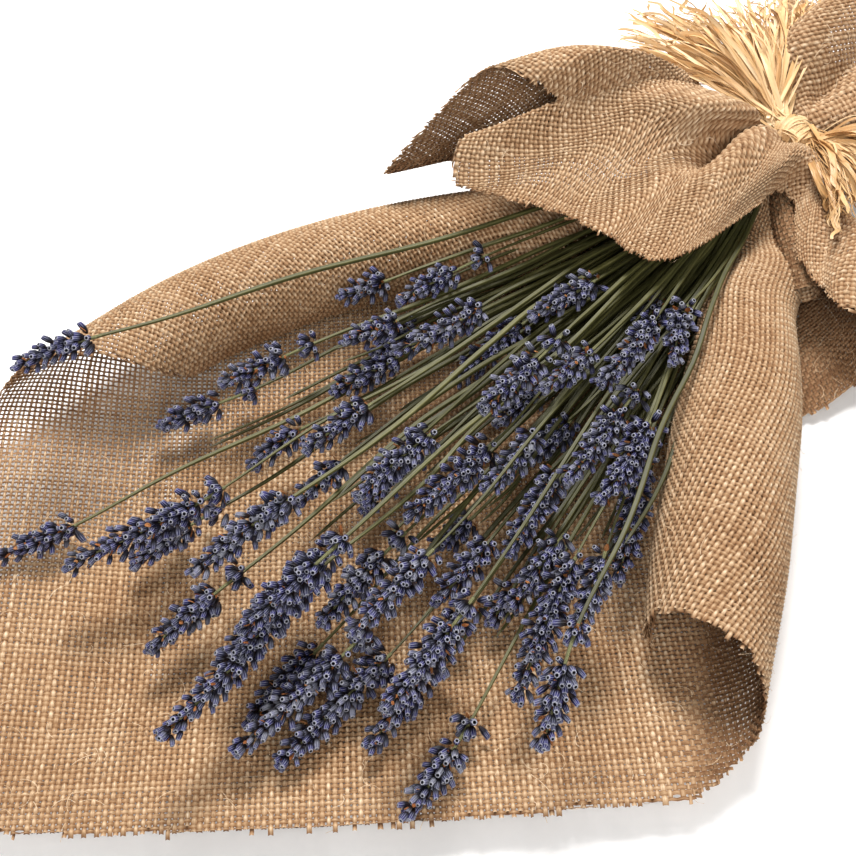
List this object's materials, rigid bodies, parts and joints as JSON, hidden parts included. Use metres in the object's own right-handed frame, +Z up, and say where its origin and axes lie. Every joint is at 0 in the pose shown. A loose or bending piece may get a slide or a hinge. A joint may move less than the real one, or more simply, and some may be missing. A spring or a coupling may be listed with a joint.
{
  "type": "dried lavender bouquet",
  "caption": "Bunch of dried lavender lying in a burlap wrap rolled up along both sides, with a burlap collar over the neck and a raffia tie.",
  "frame": {"origin": "on the flat underside of the wrap, 190 mm in front of the tie", "axes": "+Z up; the flowers point to -Y and the cut stem ends to +Y; +X is the bunch's right, seen with the flowers ahead"},
  "size_m": [0.2995, 0.5771, 0.0921],
  "materials": {
    "burlap": "matte",
    "floret": "matte",
    "stalk": "satin",
    "raffia": "satin"
  },
  "bodies": {
    "root": {"burlap_wrap": "burlap", "burlap_collar": "burlap", "stems": "stalk", "flower_head_01": "floret", "flower_head_02": "floret", "flower_head_03": "floret", "flower_head_04": "floret", "flower_head_05": "floret", "flower_head_06": "floret", "flower_head_07": "floret", "flower_head_08": "floret", "flower_head_09": "floret", "flower_head_10": "floret", "flower_head_11": "floret", "flower_head_12": "floret", "flower_head_13": "floret", "flower_head_14": "floret", "flower_head_15": "floret", "flower_head_16": "floret", "flower_head_17": "floret", "flower_head_18": "floret", "flower_head_19": "floret", "flower_head_20": "floret", "flower_head_21": "floret", "flower_head_22": "floret", "flower_head_23": "floret", "flower_head_24": "floret", "flower_head_25": "floret", "flower_head_26": "floret", "flower_head_27": "floret", "flower_head_28": "floret", "flower_head_29": "floret", "flower_head_30": "floret", "flower_head_31": "floret", "flower_head_32": "floret", "flower_head_33": "floret", "flower_head_34": "floret", "flower_head_35": "floret", "flower_head_36": "floret", "flower_head_37": "floret", "flower_head_38": "floret", "flower_head_39": "floret", "flower_head_40": "floret", "flower_head_41": "floret", "flower_head_42": "floret", "flower_head_43": "floret", "flower_head_44": "floret", "flower_head_45": "floret", "flower_head_46": "floret", "flower_head_47": "floret", "flower_head_48": "floret", "flower_head_49": "floret", "flower_head_50": "floret", "flower_head_51": "floret", "flower_head_52": "floret", "flower_head_53": "floret", "raffia_band": "raffia", "raffia_ends_left": "raffia", "raffia_ends_right": "raffia"}
  },
  "joints": []
}
